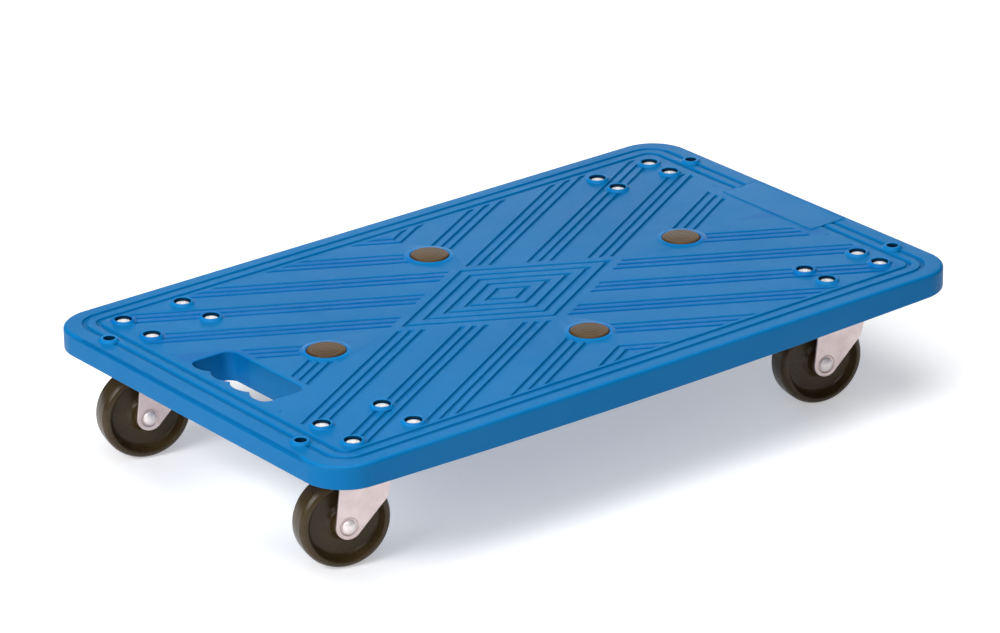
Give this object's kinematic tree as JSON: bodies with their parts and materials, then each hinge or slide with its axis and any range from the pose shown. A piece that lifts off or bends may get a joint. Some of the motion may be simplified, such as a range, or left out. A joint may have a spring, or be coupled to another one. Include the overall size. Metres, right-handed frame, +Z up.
{
  "type": "platform cart",
  "caption": "Low flat platform cart: moulded deck with a hand slot, grooved top and anti-slip pads, on swivel casters with pressed forks.",
  "frame": {"origin": "on the floor, under the middle of the deck", "axes": "+X along the deck's length towards the end with the plain panel, the hand slot is at the -X end; +Y across the deck; +Z up"},
  "size_m": [0.632, 0.382, 0.114],
  "materials": {
    "deck_plastic": "satin moulded blue plastic",
    "pad_rubber": "satin dark brown rubber",
    "zinc_sheet": "satin zinc plate on pressed steel",
    "zinc_bolts": "bright zinc plate",
    "bearing_steel": "polished, lightly greased",
    "wheel_plastic": "satin dark brown moulded plastic"
  },
  "bodies": {
    "deck_assembly": {"deck": "deck_plastic", "anti_slip_pads": "pad_rubber", "top_plate_front_left": "zinc_sheet", "bolts_front_left": "zinc_bolts", "nuts_front_left": "zinc_bolts", "kingpin_front_left": "zinc_sheet", "race_cup_front_left": "zinc_sheet", "top_plate_front_right": "zinc_sheet", "bolts_front_right": "zinc_bolts", "nuts_front_right": "zinc_bolts", "kingpin_front_right": "zinc_sheet", "race_cup_front_right": "zinc_sheet", "top_plate_rear_left": "zinc_sheet", "bolts_rear_left": "zinc_bolts", "nuts_rear_left": "zinc_bolts", "kingpin_rear_left": "zinc_sheet", "race_cup_rear_left": "zinc_sheet", "top_plate_rear_right": "zinc_sheet", "bolts_rear_right": "zinc_bolts", "nuts_rear_right": "zinc_bolts", "kingpin_rear_right": "zinc_sheet", "race_cup_rear_right": "zinc_sheet"},
    "swivel_front_left": {"fork_front_left": "zinc_sheet", "swivel_balls_front_left": "bearing_steel", "axle_front_left": "zinc_bolts", "axle_nut_front_left": "zinc_bolts", "spacer_tube_front_left": "bearing_steel"},
    "rolling_front_left": {"wheel_front_left": "wheel_plastic"},
    "swivel_front_right": {"fork_front_right": "zinc_sheet", "swivel_balls_front_right": "bearing_steel", "axle_front_right": "zinc_bolts", "axle_nut_front_right": "zinc_bolts", "spacer_tube_front_right": "bearing_steel"},
    "rolling_front_right": {"wheel_front_right": "wheel_plastic"},
    "swivel_rear_left": {"fork_rear_left": "zinc_sheet", "swivel_balls_rear_left": "bearing_steel", "axle_rear_left": "zinc_bolts", "axle_nut_rear_left": "zinc_bolts", "spacer_tube_rear_left": "bearing_steel"},
    "rolling_rear_left": {"wheel_rear_left": "wheel_plastic"},
    "swivel_rear_right": {"fork_rear_right": "zinc_sheet", "swivel_balls_rear_right": "bearing_steel", "axle_rear_right": "zinc_bolts", "axle_nut_rear_right": "zinc_bolts", "spacer_tube_rear_right": "bearing_steel"},
    "rolling_rear_right": {"wheel_rear_right": "wheel_plastic"}
  },
  "joints": [
    {"name": "front_left_swivel", "type": "hinge", "parent": "deck_assembly", "child": "swivel_front_left", "pos_m": [-0.24, -0.132, 0.0857], "axis": [0, 0, 1], "continuous": true},
    {"name": "front_left_roll", "type": "hinge", "parent": "swivel_front_left", "child": "rolling_front_left", "pos_m": [-0.2627, -0.12592, 0.0375], "axis": [0.2588, 0.9659, 0], "continuous": true},
    {"name": "front_right_swivel", "type": "hinge", "parent": "deck_assembly", "child": "swivel_front_right", "pos_m": [-0.24, 0.132, 0.0857], "axis": [0, 0, 1], "continuous": true},
    {"name": "front_right_roll", "type": "hinge", "parent": "swivel_front_right", "child": "rolling_front_right", "pos_m": [-0.2627, 0.13808, 0.0375], "axis": [0.2588, 0.9659, 0], "continuous": true},
    {"name": "rear_left_swivel", "type": "hinge", "parent": "deck_assembly", "child": "swivel_rear_left", "pos_m": [0.24, -0.132, 0.0857], "axis": [0, 0, 1], "continuous": true},
    {"name": "rear_left_roll", "type": "hinge", "parent": "swivel_rear_left", "child": "rolling_rear_left", "pos_m": [0.21701, -0.12711, 0.0375], "axis": [0.2079, 0.9781, 0], "continuous": true},
    {"name": "rear_right_swivel", "type": "hinge", "parent": "deck_assembly", "child": "swivel_rear_right", "pos_m": [0.24, 0.132, 0.0857], "axis": [0, 0, 1], "continuous": true},
    {"name": "rear_right_roll", "type": "hinge", "parent": "swivel_rear_right", "child": "rolling_rear_right", "pos_m": [0.21701, 0.13689, 0.0375], "axis": [0.2079, 0.9781, 0], "continuous": true}
  ]
}
